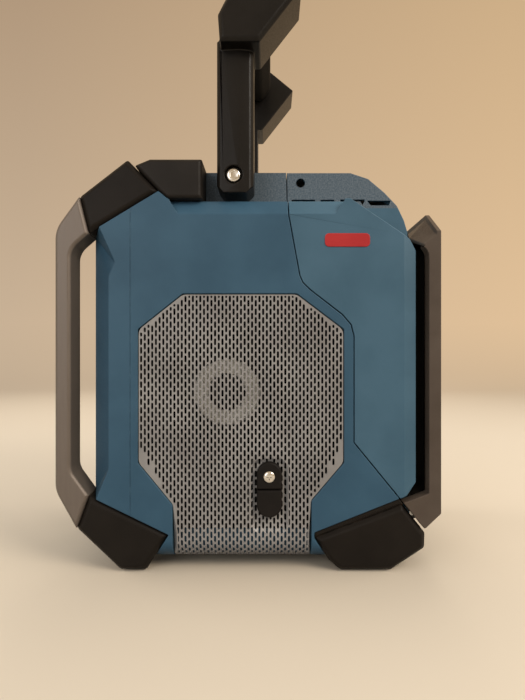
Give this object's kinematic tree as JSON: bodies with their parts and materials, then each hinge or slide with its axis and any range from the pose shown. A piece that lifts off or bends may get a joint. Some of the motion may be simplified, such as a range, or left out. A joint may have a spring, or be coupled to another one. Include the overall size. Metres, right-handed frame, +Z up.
{
  "type": "jobsite radio",
  "caption": "Rugged radio with side speaker grilles, guard bars, corner bumpers, battery door, control panel and a folding carrying handle.",
  "frame": {"origin": "middle of the box that holds the radio, on the surface it stands on", "axes": "+Z up, -Y the control side, +Y the battery door, +X and -X the grille sides"},
  "size_m": [0.187, 0.2746, 0.427],
  "materials": {
    "teal_moulding": "fine grained blue-green moulding",
    "door_moulding": "smoother blue-green moulding",
    "dark_moulding": "black moulding",
    "contact_metal": "plated contacts",
    "seal_rubber": "matt black seal",
    "steel_pin": "plain ground steel",
    "guard_plastic": "dark glossy plate",
    "latch_plastic": "black moulding",
    "grille_paint": "warm light grey paint on perforated sheet",
    "basket_paint": "black enamel",
    "magnet_ferrite": "bare ferrite",
    "cone_paper": "coated black paper",
    "ring_plastic": "pale ring",
    "cap_rubber": "soft black rubber",
    "screw_steel": "bright plated steel",
    "bar_aluminium": "taupe satin anodised",
    "bumper_rubber": "black moulded rubber",
    "hood_plastic": "black moulding",
    "foot_rubber": "soft rubber pads",
    "panel_plastic": "charcoal panel",
    "display_glass": "smoked window",
    "display_plastic": "black module",
    "board_laminate": "green laminate",
    "button_plastic": "grey keys",
    "button_accent": "red key",
    "dial_plastic": "black ribbed dial",
    "antenna_chrome": "bright tube",
    "handle_plastic": "black glass-filled moulding",
    "grip_rubber": "soft black grip"
  },
  "bodies": {
    "housing": {"antenna_mount": "latch_plastic", "antenna_pin": "steel_pin", "audio_jack": "display_plastic", "battery_terminals": "dark_moulding", "centre_housing": "teal_moulding", "cone_rings": "ring_plastic", "dc_cap_anchor": "cap_rubber", "dc_cap_screw": "screw_steel", "dc_jack": "contact_metal", "dc_socket_housing": "teal_moulding", "dial_encoder": "screw_steel", "display_module": "display_plastic", "display_window": "display_glass", "door_hinge_pin": "steel_pin", "feet": "foot_rubber", "front_bottom_bumper_left": "bumper_rubber", "front_bottom_bumper_right": "bumper_rubber", "front_panel": "panel_plastic", "front_top_bumper_left": "bumper_rubber", "front_top_bumper_right": "bumper_rubber", "grille_left": "grille_paint", "grille_right": "grille_paint", "guard_bar_left": "bar_aluminium", "guard_bar_right": "bar_aluminium", "handle_pivot_screws": "screw_steel", "hood_left": "hood_plastic", "hood_right": "hood_plastic", "housing_screws": "screw_steel", "key_board": "board_laminate", "main_board": "board_laminate", "rear_bottom_bumper_left": "bumper_rubber", "rear_bottom_bumper_right": "bumper_rubber", "rear_bulkhead": "dark_moulding", "side_shell_left": "teal_moulding", "side_shell_right": "teal_moulding", "speaker_baffles": "dark_moulding", "speaker_baskets": "basket_paint", "speaker_cones": "cone_paper", "speaker_magnets": "magnet_ferrite", "terminal_blades": "contact_metal", "usb_port": "screw_steel"},
    "handle": {"handle_arm_right": "handle_plastic", "handle_arm_left": "handle_plastic", "handle_grip": "grip_rubber"},
    "door": {"door_shell": "door_moulding", "rear_guard": "guard_plastic", "door_gasket": "seal_rubber", "latch_pin": "steel_pin"},
    "latch": {"door_latch": "latch_plastic"},
    "dc_flap": {"dc_cap": "cap_rubber"},
    "port_flap": {"port_cap": "cap_rubber"},
    "antenna_rod": {"antenna": "antenna_chrome"},
    "dial": {"tuning_dial": "dial_plastic"},
    "power_key": {"power_button": "button_accent"},
    "source_key": {"source_button": "button_plastic"},
    "preset_key_1": {"preset_button_1": "button_plastic"},
    "preset_key_2": {"preset_button_2": "button_plastic"},
    "preset_key_3": {"preset_button_3": "button_plastic"},
    "preset_key_4": {"preset_button_4": "button_plastic"},
    "preset_key_5": {"preset_button_5": "button_plastic"}
  },
  "joints": [
    {"name": "handle_fold", "type": "hinge", "parent": "housing", "child": "handle", "pos_m": [0, -0.0103, 0.2829], "axis": [-1, 0, 0], "range_deg": [0, 82]},
    {"name": "battery_door", "type": "hinge", "parent": "housing", "child": "door", "pos_m": [0, 0.128, 0.029], "axis": [-1, 0, 0], "range_deg": [0, 90]},
    {"name": "door_latch_turn", "type": "hinge", "parent": "door", "child": "latch", "pos_m": [0, 0.0488, 0.2953], "axis": [-1, 0, 0], "range_deg": [0, 60]},
    {"name": "dc_cap_fold", "type": "hinge", "parent": "housing", "child": "dc_flap", "pos_m": [0.0836, 0.0152, 0.059], "axis": [0, -1, 0], "range_deg": [0, 100]},
    {"name": "port_cap_fold", "type": "hinge", "parent": "housing", "child": "port_flap", "pos_m": [0, -0.1189, 0.052], "axis": [1, 0, 0], "range_deg": [0, 110]},
    {"name": "antenna_swing", "type": "hinge", "parent": "housing", "child": "antenna_rod", "pos_m": [-0.034, -0.072, 0.2995], "axis": [1, 0, 0], "range_deg": [0, 90]},
    {"name": "tuning_turn", "type": "hinge", "parent": "housing", "child": "dial", "pos_m": [0, -0.1181, 0.11], "axis": [0, -1, 0], "continuous": true},
    {"name": "power_press", "type": "slide", "parent": "housing", "child": "power_key", "axis": [0, 1, 0], "range_m": [0, 0.0012], "stiffness_N_per_m": 300, "springref_m": -0.002},
    {"name": "source_press", "type": "slide", "parent": "housing", "child": "source_key", "axis": [0, 1, 0], "range_m": [0, 0.0012], "stiffness_N_per_m": 300, "springref_m": -0.002},
    {"name": "preset_press_1", "type": "slide", "parent": "housing", "child": "preset_key_1", "axis": [0, 1, 0], "range_m": [0, 0.0012], "stiffness_N_per_m": 300, "springref_m": -0.002},
    {"name": "preset_press_2", "type": "slide", "parent": "housing", "child": "preset_key_2", "axis": [0, 1, 0], "range_m": [0, 0.0012], "stiffness_N_per_m": 300, "springref_m": -0.002},
    {"name": "preset_press_3", "type": "slide", "parent": "housing", "child": "preset_key_3", "axis": [0, 1, 0], "range_m": [0, 0.0012], "stiffness_N_per_m": 300, "springref_m": -0.002},
    {"name": "preset_press_4", "type": "slide", "parent": "housing", "child": "preset_key_4", "axis": [0, 1, 0], "range_m": [0, 0.0012], "stiffness_N_per_m": 300, "springref_m": -0.002},
    {"name": "preset_press_5", "type": "slide", "parent": "housing", "child": "preset_key_5", "axis": [0, 1, 0], "range_m": [0, 0.0012], "stiffness_N_per_m": 300, "springref_m": -0.002}
  ]
}
